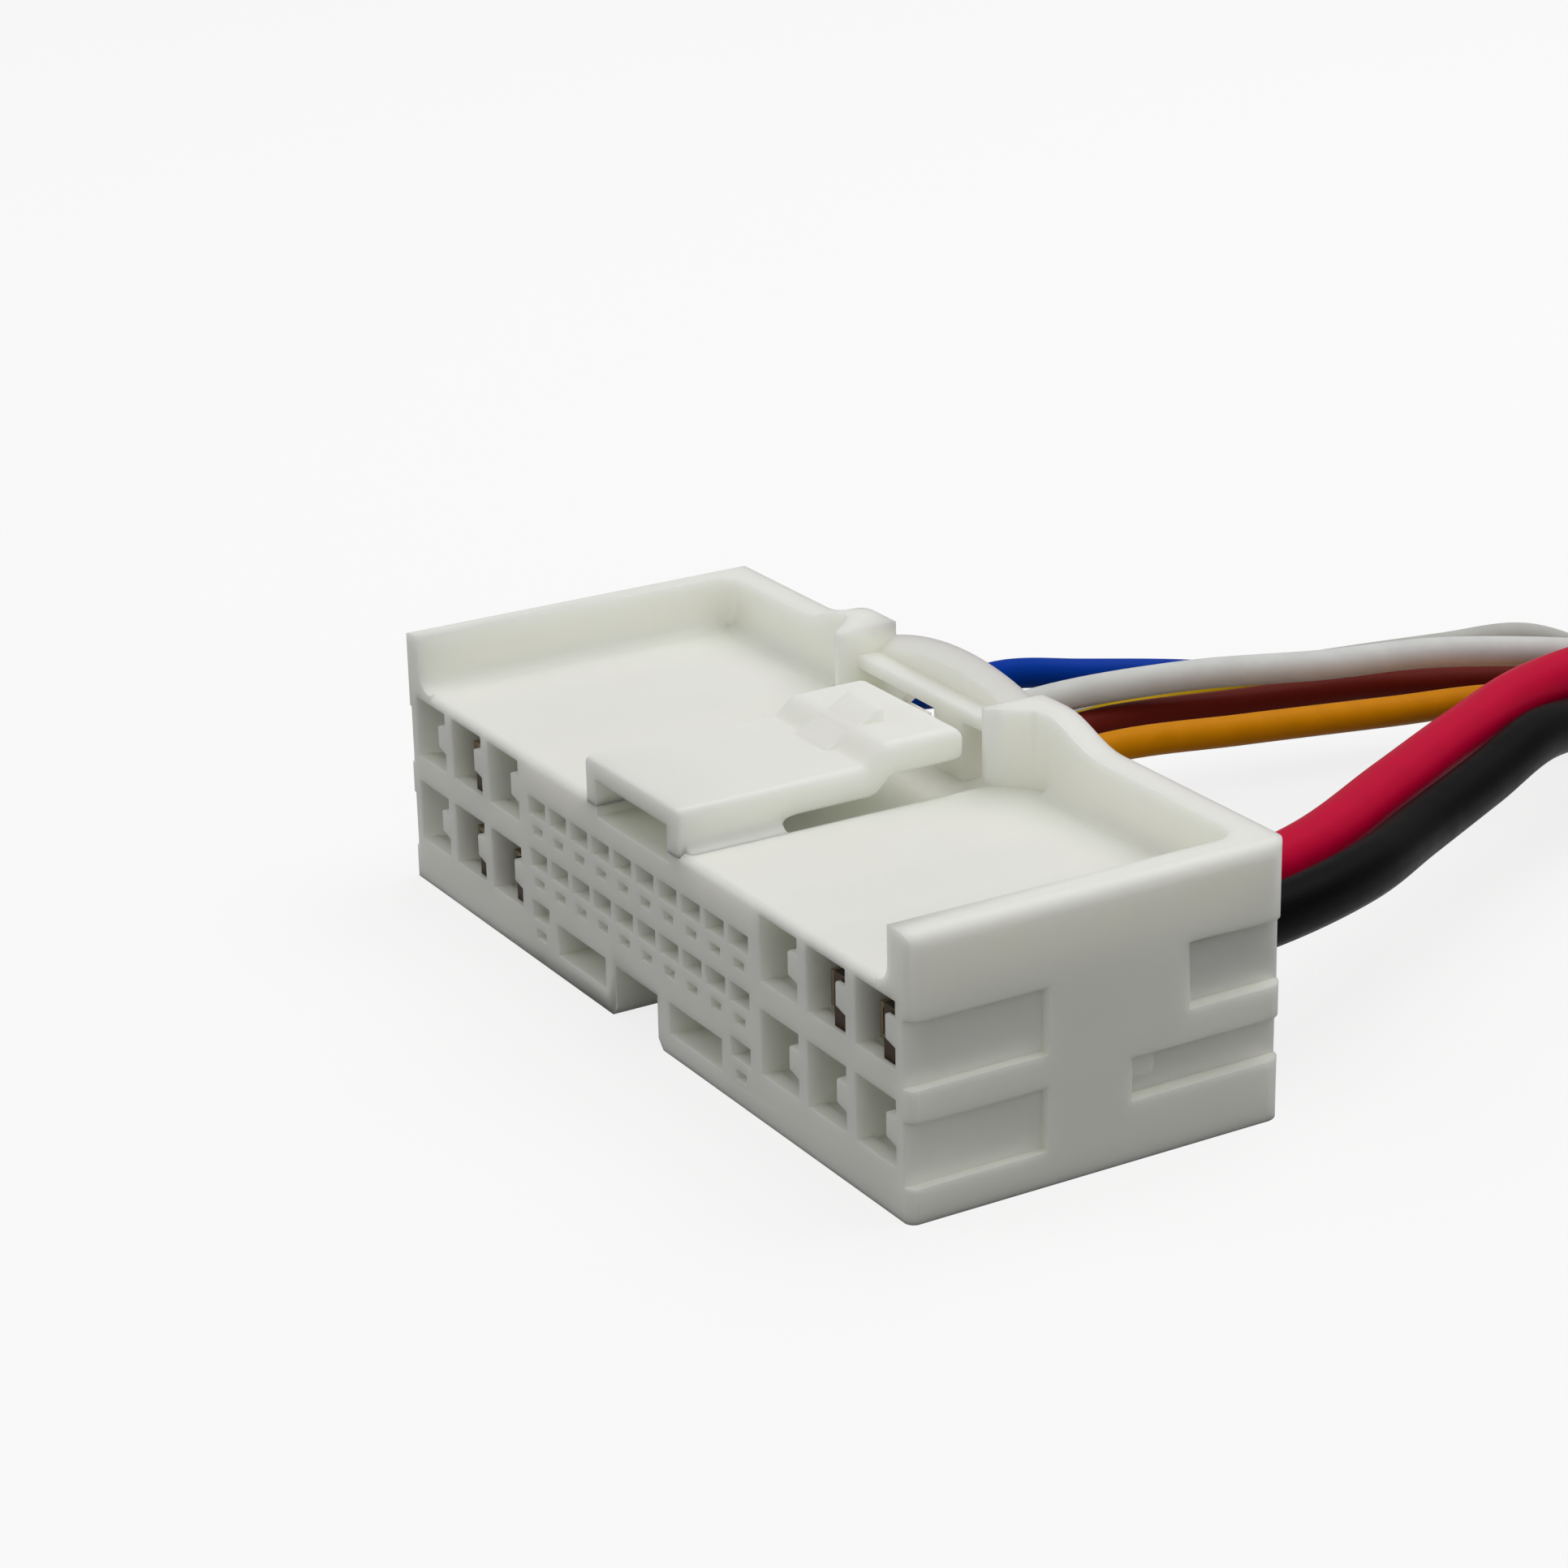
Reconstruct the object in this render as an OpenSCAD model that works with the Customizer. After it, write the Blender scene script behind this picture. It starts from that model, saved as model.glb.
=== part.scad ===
// Wiring harness connector: a hybrid plug with power and signal cavities, a press latch and eight leads.
// Millimetres. X runs across, Y from the mating face to the leads, Z up. The origin is the bottom's centre.

/* [Cavities] */
// Pitch of the signal columns
signal_pitch = 2.2; // [2.1:0.05:2.5]
// Signal columns
signal_columns = 10; // [6:2:14]
// Pitch of the signal rows
signal_row_pitch = 2.8; // [2.6:0.05:2.9]
// Width of a signal mouth
signal_w = 1.7; // [1.4:0.05:1.75]
// Height of a signal mouth
signal_mouth_h = 0.92; // [0.7:0.02:1]
// Bar between a signal mouth and the test window under it
signal_bar_h = 0.56; // [0.5:0.02:0.7]
// Width of a test window
window_w = 0.9; // [0.6:0.1:1.3]
// Height of a test window
window_h = 0.44; // [0.3:0.02:0.5]
// Thickness of the wall in front of the signal cavities
front_wall = 1.2; // [0.8:0.1:2]
// From the deck down to the first signal row
signal_drop = 2.02; // [1.8:0.02:2.3]
// Pitch of the power columns
power_pitch = 4.08; // [3.9:0.02:4.6]
// Width of a power mouth
power_w = 3.2; // [2.9:0.05:3.4]
// Height of a power mouth
power_h = 3.2; // [2.6:0.01:3.25]
// Height of a power cavity behind its mouth
power_cavity_h = 3.3; // [3:0.05:3.4]
// Pitch of the power rows
power_row_pitch = 4.66; // [4.3:0.02:4.8]
// From the deck down to the first power row
power_drop = 0.55; // [0.5:0.05:0.8]
// How far the rib stands into a power mouth
rib_w = 0.8; // [0.4:0.05:1]
// Height of that rib
rib_h = 1.35; // [0.8:0.05:1.5]
// From the top of a power mouth down to its rib
rib_drop = 0.85; // [0.5:0.05:1]
// Length of the rib and of the mouth
rib_l = 0.9; // [0.7:0.05:1.5]

/* [Housing] */
// Depth from the mating face to the rear face
body_d = 20.2; // [18.5:0.1:24]
// Height of the deck
deck_h = 10.8; // [10.6:0.05:12]
// Wall between the signal field and a power group
field_wall = 1.12; // [0.8:0.02:2]
// Side wall outside the power cavities, at the bands
side_wall = 1.17; // [1.1:0.01:2]
// Height of the rim over the deck
rim_h = 2.85; // [2:0.05:3.4]
// Thickness of the side rims
side_rim_t = 1.7; // [1.2:0.05:2]
// Thickness of the rear rim
rear_rim_t = 1.45; // [1.1:0.05:1.8]
// Radius of the front upright corners
corner_r = 0.5; // [0.2:0.05:0.8]
// Radius of the rear upright corners
rear_corner_r = 0.9; // [0.5:0.05:0.95]
// Radius along the top of the side rims
rim_edge_r = 0.75; // [0.2:0.05:0.9]
// Chamfer along the deck's front edge
deck_chamfer = 0.35; // [0.1:0.05:0.5]
// Radius between the deck and its rims
fillet_r = 1; // [0.4:0.05:1.2]
// Radius of the decks' rear corners
deck_corner_r = 1.4; // [0.6:0.1:2]

/* [Side recesses and keys] */
// Length of the front recesses
front_recess_l = 7.2; // [5:0.1:8]
// Depth of the front recesses
front_recess_t = 0.5; // [0.3:0.05:0.6]
// Length of the upper rear recess
rear_recess_l = 5.4; // [4:0.1:6]
// Length of the lower rear recess
rear_slot_l = 8.5; // [7:0.1:9]
// Depth of the rear recesses
rear_recess_t = 0.75; // [0.5:0.05:0.8]
// Height of an upper recess
upper_recess_h = 3.2; // [2.5:0.05:3.4]
// Height of the lower front recess
lower_recess_h = 3.1; // [2.5:0.05:3.3]
// Height of the lower rear recess
rear_slot_h = 2.1; // [1.5:0.05:2.5]
// Length of the shallow front end of the lower rear recess
slot_end_l = 1.5; // [1:0.1:2]
// Height of that shallow end, from the recess's top
slot_end_h = 1.2; // [0.6:0.05:1.4]
// From the deck down to the upper recesses
upper_recess_drop = 1.2; // [0.9:0.05:1.5]
// From the deck down to the foot of the lower front recess
lower_recess_drop = 9.1; // [8.8:0.05:9.4]
// From the deck down to the foot of the lower rear recess
rear_slot_drop = 7.8; // [7.5:0.05:8.1]
// Width of the key notch in the bottom
notch_w = 4.1; // [3:0.1:5]
// Height of the key notch and of the top of the bottom pockets
notch_h = 2.7; // [2:0.05:2.9]
// Length of the key notch
notch_l = 14; // [8:0.5:16]
// Inner edge of a bottom pocket from the centre
pocket_x = 3.2; // [3:0.05:4]
// Width of a bottom pocket
pocket_w = 4.9; // [3:0.1:5.2]
// Height of a bottom pocket
pocket_h = 1.6; // [1:0.05:1.7]
// Length of a bottom pocket
pocket_l = 8; // [4:0.5:12]

/* [Latch] */
// Width of the latch nose and lever
latch_w = 9; // [7:0.1:10]
// Length of the nose
nose_l = 5.6; // [4.5:0.1:6]
// Height of the nose and lever over the deck
nose_h = 2.1; // [1.8:0.05:2.4]
// Radius of the nose's top edges
nose_edge_r = 0.35; // [0.1:0.05:0.5]
// Width of the nose's front pocket
nose_pocket_w = 7; // [5:0.1:7.4]
// Height of the nose's front pocket
nose_pocket_h = 1.9; // [1:0.05:2]
// Depth of the nose's front pocket
nose_pocket_l = 3; // [1.5:0.1:4]
// Thickness of the lever
lever_t = 1.6; // [1.2:0.05:1.7]
// Length of the lever from its root
lever_l = 10.3; // [9.8:0.05:10.5]
// Rise of the thumb pad over the lever
pad_rise = 0.9; // [0.5:0.05:1.2]
// From the lever's root to the pad's full height
pad_set = 6.1; // [5.7:0.1:6.5]
// Length of the ramp up to the pad
ramp_l = 1.5; // [1:0.1:1.8]
// Radius of the pad's rear edge
pad_edge_r = 0.7; // [0.3:0.05:0.8]
// Gap at the lever's root
root_gap = 0.05; // [0.03:0.01:0.1]
// Clearance beside the lever
lever_gap = 0.6; // [0.3:0.05:0.8]
// Floor between the lever's slot and the signal cavities
slot_floor_t = 0.8; // [0.6:0.05:1]
// Width of the locking wedge
wedge_w = 3; // [2:0.1:4]
// Height of the wedge over the lever
wedge_h = 1.55; // [1.3:0.05:1.8]
// From the lever's root to the wedge's foot
wedge_set = 4.2; // [3.8:0.1:4.5]
// From the lever's root to the wedge's ridge
ridge_set = 7.65; // [7.2:0.05:8]

/* [Guard] */
// Guard's centre from the housing's centre
guard_x = -1.8; // [-2.2:0.1:2.2]
// Gap between the end posts
guard_gap = 13.2; // [12.8:0.1:14]
// Reach of the posts from the rear face
post_l = 3.5; // [3:0.05:3.7]
// Rise of the rear rim up to the posts
post_rise = 1.1; // [0.6:0.05:1.4]
// Length of that rise
post_run = 4.6; // [3:0.1:6]
// Length of a post's curved foot
post_foot_l = 2.6; // [2:0.1:3.5]
// Top of the crossbar over the deck
bar_h = 2.55; // [2.3:0.05:2.8]
// Thickness of the crossbar at its rear
bar_t = 1; // [0.8:0.05:1.2]
// Height of the crossbar's front lip
bar_lip = 0.7; // [0.3:0.05:0.75]
// Depth of the crossbar
bar_l = 1.3; // [0.9:0.05:1.5]
// Rise of the arch over its ends
arch_rise = 1; // [0.4:0.05:1.2]
// Thickness of the arch
arch_t = 1; // [0.8:0.05:1.2]
// Height of the arch's ends over the crossbar, at the rear
arch_step = 0.7; // [0.7:0.05:1]
// Slope of the arch's top, from front to rear
arch_slope = 0.65; // [0.3:0.05:0.65]
// Width of the lever's stop under the crossbar
stop_w = 2.6; // [1.6:0.1:3]
// Foot of the web under the arch's left end
web_foot = 1.4; // [0.8:0.1:1.8]
// Top of that web
web_w = 3.4; // [2.4:0.1:3.8]

/* [Terminals] */
// Clearance round a signal terminal
signal_term_gap = 0.15; // [0.1:0.01:0.2]
// Clearance round a power terminal
power_term_gap = 0.3; // [0.2:0.05:0.5]
// Height of a power contact box
power_box_h = 1.75; // [1.5:0.05:2.2]
// From a power mouth's inner end to its terminal
power_set = 0.2; // [0.1:0.05:1]
// From a signal mouth's inner end to its terminal
signal_set = 2.1; // [1.3:0.1:2.6]
// From a terminal's rear end to the rear face
term_back = 5; // [3:0.1:5]
// Length of a signal contact box
contact_l = 6.5; // [5:0.1:7]
// Length of a power contact box
power_contact_l = 8.5; // [6:0.1:9]
// Wall of a contact box
contact_t = 0.25; // [0.2:0.01:0.35]
// Wall of a crimp barrel
crimp_t = 0.2; // [0.1:0.05:0.3]

/* [Leads] */
// Diameter of a thin lead
thin_d = 1.65; // [1.3:0.05:1.7]
// Diameter of a thick lead
thick_d = 2.8; // [2.2:0.05:2.85]
// Gap between leads in the hank
lead_gap = 0.05; // [0.02:0.01:0.1]
// Radius of the hank's innermost lead
hank_r = 5.9; // [5:0.1:7]
// From the rear face to the hank
free_l = 54; // [53:0.5:56]
// Length of the hank's straight runs
hank_run = 36; // [28:1:44]
// Thickness of the tie
tie_t = 0.3; // [0.2:0.05:0.5]
// Width of the tie
tie_w = 5; // [3:0.5:8]
// From the hank's end to the tie
tie_set = 22; // [10:1:26]

/* [Hidden] */
$fn = 48;
eps = 0.1;

// Places across the width, from the signal field outwards
front = -body_d / 2;
rear = body_d / 2;
field_half = (signal_columns - 1) / 2 * signal_pitch + signal_w / 2;
power_x = field_half + field_wall + power_pitch + power_w / 2;
half_w = power_x + power_pitch + power_w / 2 + side_wall;
body_w = 2 * half_w;
rim_z = deck_h + rim_h;

// Cavities
signal_top = deck_h - signal_drop;
signal_cavity_h = signal_mouth_h + signal_bar_h + window_h;
power_top = deck_h - power_drop;
function signal_x(i) = (i - (signal_columns - 1) / 2) * signal_pitch;
function signal_z(row) = signal_top - row * signal_row_pitch;
function power_z(row) = power_top - row * power_row_pitch;

// Latch
slot_z = signal_top + slot_floor_t;
nose_z = deck_h + nose_h;
root_y = front + nose_l + root_gap;
pad_y = root_y + pad_set;
lever_end = root_y + lever_l;
lever_half = latch_w / 2;
wedge_y = root_y + wedge_set;
ridge_y = root_y + ridge_set;
function ramp(u) = pad_rise * (1 - cos(180 * u)) / 2;
lever_top = [for (k = [0:8]) [pad_y - ramp_l + ramp_l * k / 8, nose_z + ramp(k / 8)]];
lever_under = [for (k = [8:-1:0]) [lever_top[k][0] + 0.3, lever_top[k][1] - lever_t]];
pad_z = nose_z + pad_rise;
pad_edge = [for (k = [0:6]) [lever_end - pad_edge_r * (1 - sin(15 * k)),
                             pad_z - pad_edge_r * (1 - cos(15 * k))]];

// Guard
post_z = rim_z + post_rise;
post_flat = post_l - rear_rim_t + 0.1;
post_lip = 0.3;
post_edge = guard_gap / 2;
function swell(u) = post_rise * (1 - cos(180 * u)) / 2;
function arch(u) = arch_rise * (1 - u * u);
bar_z = deck_h + bar_h;

// Terminals and leads
term_end = rear - term_back;
lift = tie_t;
lane_step = thin_d + lead_gap;
thick_r = hank_r + 2 * lane_step + (thin_d + thick_d) / 2 + 0.12;
hank_x = -8.5;
hank_y = rear + free_l;
hank_half = thick_r + thick_d / 2 + lead_gap;
hank_h = 2 * thick_d + 2 * lead_gap;
thin_low = lift + thin_d / 2;
thick_low = lift + thick_d / 2;

// Where each lead starts: across, up, and its place in the hank
blue_at = [-power_x, power_z(0) - power_cavity_h / 2];
grey_at = [-power_x, power_z(1) - power_cavity_h / 2];
yellow_at = [power_pitch - power_x, power_z(1) - power_cavity_h / 2];
red_at = [power_x, power_z(0) - power_cavity_h / 2];
black_at = [power_x + power_pitch, power_z(0) - power_cavity_h / 2];
white_at = [signal_x(1), signal_z(0) - signal_cavity_h / 2];
brown_at = [signal_x(2), signal_z(0) - signal_cavity_h / 2];
orange_at = [signal_x(4), signal_z(0) - signal_cavity_h / 2];

// Routes of the leads behind the housing: across, from the rear face, and up
blue_way = [[-15.5, 6, 7.5], [-12.5, 14, 8], [-12, 22, 6.5], [-11, 30, 4.5], [-8.5, 39, 3], [-5, 48, 1.5]];
white_way = [[-7.5, 8, 9], [-5.5, 16, 9.5], [-4, 24, 9], [-3, 32, 8.5], [-0.5, 42, 7], [0.5, 49, 4.5]];
grey_way = [[-16.5, 8, 4], [-14.5, 18, 4.5], [-13.5, 28, 5], [-10.5, 38, 5.5], [-7, 47, 4], [-4, 51, 3]];
yellow_way = [[-12.5, 8, 4.5], [-10.5, 17, 6], [-9.5, 28, 6], [-8, 38, 5], [-3.5, 46, 2.5], [-1.5, 50.5, 1]];
brown_way = [[-6, 6, 7.5], [-6.5, 12, 7.5], [-6, 20, 7], [-5.5, 28, 6.5], [-5, 36, 5.5], [-3, 46, 4.5],
             [-1.5, 50.5, 3]];
orange_way = [[-1, 8, 8.5], [-0.5, 16, 8], [-0.5, 26, 7], [-1, 34, 6], [0, 43, 4.5], [0.5, 49.5, 2]];
red_way = [[15.5, 8, 8.5], [11.5, 16, 8.5], [7.5, 24, 8.5], [4, 32, 8.5], [2.5, 40, 8], [3, 50, 5.5]];
black_way = [[19.5, 8, 8.5], [15.5, 15, 8], [12, 22, 8], [8.5, 29, 8], [4.5, 38, 5.5], [3, 49, 2.5]];

// Lead routes from the terminal to the hank
function route(at, way, lane, layer_z) = concat(
    [[at[0], term_end, at[1]], [at[0], rear + 0.4, at[1]]],
    [for (p = way) [p[0], rear + p[1], p[2]]],
    [[hank_x + lane, hank_y, layer_z]]);
function thin_lane(i) = hank_r + i * lane_step;
function unit(v) = v / norm(v);
function heading(p, i) = i == 0 || i == len(p) - 1 ? [0, 1, 0] : unit(p[i + 1] - p[i - 1]);
function ring(c, t, r) = let(s = unit(cross(t, [0, 0, 1])), u = cross(s, t))
    [for (k = [0:7]) c + r * cos(45 * k) * s + r * sin(45 * k) * u];

// One tube with eight sides, with a ring at every route point
module tube(p, d) {
    n = len(p);
    rings = [for (i = [0:n - 1]) each ring(p[i], heading(p, i), d / 2)];
    left = [for (i = [0:n - 2], k = [0:7]) [8 * i + k, 8 * i + (k + 1) % 8, 8 * i + 8 + (k + 1) % 8]];
    right = [for (i = [0:n - 2], k = [0:7]) [8 * i + k, 8 * i + 8 + (k + 1) % 8, 8 * i + 8 + k]];
    ends = [[7, 6, 5, 4, 3, 2, 1, 0], [for (k = [0:7]) 8 * (n - 1) + k]];
    polyhedron(points = rings, faces = concat(ends, left, right));
}

// A box by its low corner and its high corner
module block(low, high) {
    translate(low)
        cube(high - low);
}

// A profile in Y and Z, run along X from one place to another
module along_x(x0, x1) {
    translate([x0, 0, 0])
        rotate([90, 0, 90])
            linear_extrude(x1 - x0)
                children();
}

// A profile in X and Z, run along Y from one place to another
module along_y(y0, y1) {
    translate([0, y1, 0])
        rotate([90, 0, 0])
            linear_extrude(y1 - y0)
                children();
}

// The housing's outline from above, with its upright corners round
module outline() {
    translate([-half_w, front + corner_r])
        square([body_w, body_d - corner_r - rear_corner_r]);
    translate([corner_r - half_w, front])
        square([body_w - 2 * corner_r, body_d / 2]);
    translate([rear_corner_r - half_w, 0])
        square([body_w - 2 * rear_corner_r, body_d / 2]);
    for (s = [-1, 1]) {
        translate([s * (half_w - corner_r), front + corner_r])
            circle(corner_r);
        translate([s * (half_w - rear_corner_r), rear - rear_corner_r])
            circle(rear_corner_r);
    }
}

// The block with its decks and side rims
module shell() {
    difference() {
        union() {
            difference() {
                linear_extrude(rim_z)
                    outline();
                block([side_rim_t - half_w, front - eps, deck_h],
                      [half_w - side_rim_t, rear + eps, rim_z + eps]);
            }
            for (s = [-1, 1])
                deck_fillets(s);
        }
        for (s = [-1, 1])
            rim_edge(s);
        deck_edge();
    }
}

// Concave corner of one radius, in the quarter that its two signs name
module corner(r, sx, sy) {
    curve = [for (k = [0:5]) [sx * r * (1 - sin(18 * k)), sy * r * (1 - cos(18 * k))]];
    polygon(concat([[-sx * eps, -sy * eps], [sx * r, -sy * eps]], curve, [[-sx * eps, sy * r]]));
}

// Fillets of one deck: along the side rim, along the rear rim and in the corner between them
module deck_fillets(s) {
    x = s * (half_w - side_rim_t);
    y = rear - rear_rim_t;
    along_y(front, y)
        translate([x, deck_h])
            corner(fillet_r, -s, 1);
    x1 = guard_x + s * (post_edge + post_lip + post_foot_l);
    along_x(min(x, x1), max(x, x1))
        translate([y, deck_h])
            corner(fillet_r, -1, 1);
    translate([x, y, deck_h])
        linear_extrude(rim_h)
            corner(deck_corner_r, -s, -1);
}

// What the rounded top edge of one side rim leaves away
module rim_edge(s) {
    x = s * (half_w - rim_edge_r);
    along_y(front - eps, rear + eps)
        difference() {
            translate([x + s * rim_edge_r, rim_z])
                square(2 * rim_edge_r, center = true);
            translate([x, rim_z - rim_edge_r])
                circle(rim_edge_r);
        }
}

// What the chamfer at the deck's front edge leaves away
module deck_edge() {
    c = deck_chamfer;
    w = half_w - side_rim_t - fillet_r;
    along_x(-w, w)
        polygon([[front - eps, deck_h - c - eps], [front + c + eps, deck_h + eps],
                 [front - eps, deck_h + eps]]);
}

// Rear rim on one side, swelling up to its end post
module rear_rim(s) {
    inner = guard_x + s * post_edge;
    top = inner + s * post_flat;
    curve = [for (k = [8:-1:0]) [top + s * post_run * (8 - k) / 8, rim_z + swell(k / 8)]];
    outer = s * (half_w - side_rim_t);
    foot = [for (k = [0:8]) [inner + s * (post_lip + post_foot_l * k / 8),
                             rear - post_l + (post_l - rear_rim_t) * sin(90 * k / 8)]];
    along_y(rear - rear_rim_t, rear)
        polygon(concat([[inner, deck_h], [inner, post_z]], curve, [[outer, rim_z], [outer, deck_h]]));
    translate([0, 0, deck_h])
        linear_extrude(post_z - deck_h)
            polygon(concat([[inner, rear - rear_rim_t + eps], [inner, rear - post_l]], foot,
                           [[foot[8][0], rear - rear_rim_t + eps]]));
}

// Arch behind the crossbar, with a top that slopes up to the rear
module guard_arch() {
    steps = 16;
    low = bar_z - bar_t;
    n = steps + 3;
    x = [for (k = [0:steps]) guard_x + post_edge * (1 - 2 * k / steps)];
    top = [for (k = [0:steps]) bar_z + arch_step + arch(1 - 2 * k / steps)];
    near = concat([[x[steps], rear - arch_t, low], [x[0], rear - arch_t, low]],
                  [for (k = [0:steps]) [x[k], rear - arch_t, top[k] - arch_slope]]);
    far = concat([[x[steps], rear, low], [x[0], rear, low]], [for (k = [0:steps]) [x[k], rear, top[k]]]);
    sides = [for (i = [0:n - 1]) [i, (i + 1) % n, n + (i + 1) % n, n + i]];
    ends = [[for (i = [n - 1:-1:0]) i], [for (i = [0:n - 1]) n + i]];
    polyhedron(points = concat(near, far), faces = concat(ends, sides));
}

// Crossbar with a thin front lip, the arch behind it and the web under the arch's left end
module guard() {
    y1 = rear - arch_t;
    y0 = y1 - bar_l;
    left = guard_x - post_edge;
    along_x(left, guard_x + post_edge)
        polygon([[y0, bar_z - bar_lip], [y0, bar_z], [y1 + eps, bar_z], [y1 + eps, bar_z - bar_t],
                 [y1, bar_z - bar_t]]);
    guard_arch();
    along_y(y1, rear)
        polygon([[left - eps, deck_h - eps], [left + web_foot, deck_h - eps], [left + web_foot, deck_h],
                 [left + web_w, bar_z - bar_t + eps], [left - eps, bar_z - bar_t + eps]]);
}

// Stop under the crossbar, which ends the lever's way up
module lever_stop() {
    y0 = rear - arch_t - bar_l;
    along_x(-stop_w / 2, stop_w / 2)
        polygon([[y0, slot_z - eps], [y0, bar_z - eps], [rear, bar_z - eps], [rear, slot_z - eps]]);
}

// Nose that the latch lever grows out of
module nose() {
    r = nose_edge_r;
    along_y(front, front + nose_l) {
        translate([-latch_w / 2, deck_h - 1])
            square([latch_w, nose_h + 1 - r]);
        translate([r - latch_w / 2, deck_h])
            square([latch_w - 2 * r, nose_h]);
        for (s = [-1, 1])
            translate([s * (latch_w / 2 - r), nose_z - r])
                circle(r);
    }
    for (s = [-1, 1])
        along_y(front + deck_chamfer, front + nose_l)
            translate([s * latch_w / 2, deck_h])
                corner(lever_gap, s, 1);
}

// One signal cavity: mouth, test window and the room behind them
module signal_cavity(x, z) {
    y1 = front + front_wall;
    block([x - signal_w / 2, front - eps, z - signal_mouth_h], [x + signal_w / 2, y1 + eps, z]);
    block([x - window_w / 2, front - eps, z - signal_cavity_h],
          [x + window_w / 2, y1 + eps, z - signal_cavity_h + window_h]);
    block([x - signal_w / 2 - 0.05, y1, z - signal_cavity_h], [x + signal_w / 2 + 0.05, rear + eps, z]);
}

// One power cavity: mouth with its rib and the room behind it
module power_cavity(x, z) {
    w = power_w / 2;
    along_y(front - eps, front + rib_l + eps)
        polygon([[x - w, z - power_h], [x + w, z - power_h], [x + w, z - rib_drop - rib_h],
                 [x + w - rib_w, z - rib_drop - rib_h + 0.2], [x + w - rib_w, z - rib_drop],
                 [x + w, z - rib_drop], [x + w, z], [x - w, z]]);
    block([x - w, front + rib_l, z - power_cavity_h], [x + w, rear + eps, z]);
}

// All cavities
module cavities() {
    for (i = [0:signal_columns - 1], row = [0, 1])
        signal_cavity(signal_x(i), signal_z(row));
    for (i = [0, signal_columns - 1])
        signal_cavity(signal_x(i), signal_z(2));
    for (s = [-1, 1], i = [-1:1], row = [0, 1])
        power_cavity(s * power_x + i * power_pitch, power_z(row));
}

// Recesses of one side
module side_recesses(s) {
    face = s * half_w;
    a = face - s * front_recess_t;
    b = face - s * rear_recess_t;
    out = face + s * 1;
    low = deck_h - lower_recess_drop;
    upper = deck_h - upper_recess_drop;
    y1 = front + front_recess_l;
    y2 = rear - rear_recess_l;
    y3 = rear - rear_slot_l;
    slot = deck_h - rear_slot_drop;
    block([min(a, out), front - eps, upper - upper_recess_h], [max(a, out), y1, upper]);
    block([min(a, out), front - eps, low], [max(a, out), y1, low + lower_recess_h]);
    block([min(b, out), y2, upper + 0.3 - upper_recess_h], [max(b, out), rear + eps, upper + 0.3]);
    top = slot + rear_slot_h;
    block([min(b, out), y3 + slot_end_l, slot], [max(b, out), rear + eps, top]);
    block([min(b, out), y3, slot], [max(b, out), rear, top - slot_end_h]);
    block([min(a, out), y3, slot + eps], [max(a, out), y3 + slot_end_l + eps, top]);
}

// Key notch and pockets in the bottom of the mating face
module keys() {
    w = notch_w / 2;
    along_y(front - eps, front + notch_l)
        polygon([[-w - 0.45, -eps], [w + 0.45, -eps], [w + 0.45, 0], [w, 0.5], [w, notch_h], [-w, notch_h],
                 [-w, 0.5], [-w - 0.45, 0]]);
    for (s = [-1, 1]) {
        x0 = s > 0 ? pocket_x : -pocket_x - pocket_w;
        block([x0, front - eps, notch_h - pocket_h], [x0 + pocket_w, front + pocket_l, notch_h]);
    }
}

// Moulded housing
module housing() {
    color("#d8dad2") {
        difference() {
            union() {
                shell();
                nose();
                rear_rim(-1);
                rear_rim(1);
                guard();
            }
            cavities();
            keys();
            side_recesses(-1);
            side_recesses(1);
            block([-nose_pocket_w / 2, front - eps, nose_z - 1 - nose_pocket_h],
                  [nose_pocket_w / 2, front + nose_pocket_l, nose_z - 1]);
            block([-lever_half - lever_gap, front + nose_l, slot_z],
                  [lever_half + lever_gap, rear + eps, deck_h + eps]);
        }
        lever_stop();
    }
}

// Latch lever with its thumb pad and locking wedge
module latch_lever() {
    color("#dedfd8") {
        along_x(-lever_half, lever_half)
            polygon(concat([[root_y, nose_z - lever_t], [root_y, nose_z]], lever_top, pad_edge,
                           [[lever_end, pad_z - lever_t]], lever_under));
        along_x(-wedge_w / 2, wedge_w / 2)
            polygon([[wedge_y, nose_z], [ridge_y - 0.2, nose_z + wedge_h], [ridge_y, nose_z + wedge_h - 0.05],
                     [ridge_y, pad_z - 0.3], [pad_y, nose_z - 0.3], [wedge_y, nose_z - 0.3]]);
    }
}

// Crimped terminal along Y: contact box, neck and barrel, the box lower than the barrel by a drop
module terminal(at, y0, l, w, h, drop, barrel) {
    y1 = y0 + l;
    t = contact_t;
    translate([at[0], 0, at[1]]) {
        difference() {
            block([-w / 2, y0, -h / 2 - drop], [w / 2, y1, h / 2 - drop]);
            block([t - w / 2, y0 - eps, t - h / 2 - drop], [w / 2 - t, y1 - 1, h / 2 - t - drop]);
        }
        block([-w / 4, y1 - eps, -h / 4 - drop], [w / 4, term_end - 2.4, h / 4]);
        translate([0, term_end - 2.5, 0])
            rotate([-90, 0, 0])
                cylinder(h = 2.5, d = barrel);
    }
}

module power_terminal(at, lead_d) {
    w = power_w - 2 * power_term_gap;
    drop = power_cavity_h / 2 - power_term_gap - power_box_h / 2;
    color("#b9a06a")
        terminal(at, front + rib_l + power_set, power_contact_l, w, power_box_h, drop,
                 min(lead_d + crimp_t, power_w - 0.1));
}

module signal_terminal(at) {
    w = signal_w + 0.1 - 2 * signal_term_gap;
    h = signal_cavity_h - 2 * signal_term_gap;
    color("#b9a06a")
        terminal(at, front + front_wall + signal_set, contact_l, w, h, 0, min(w, thin_d));
}

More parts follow.
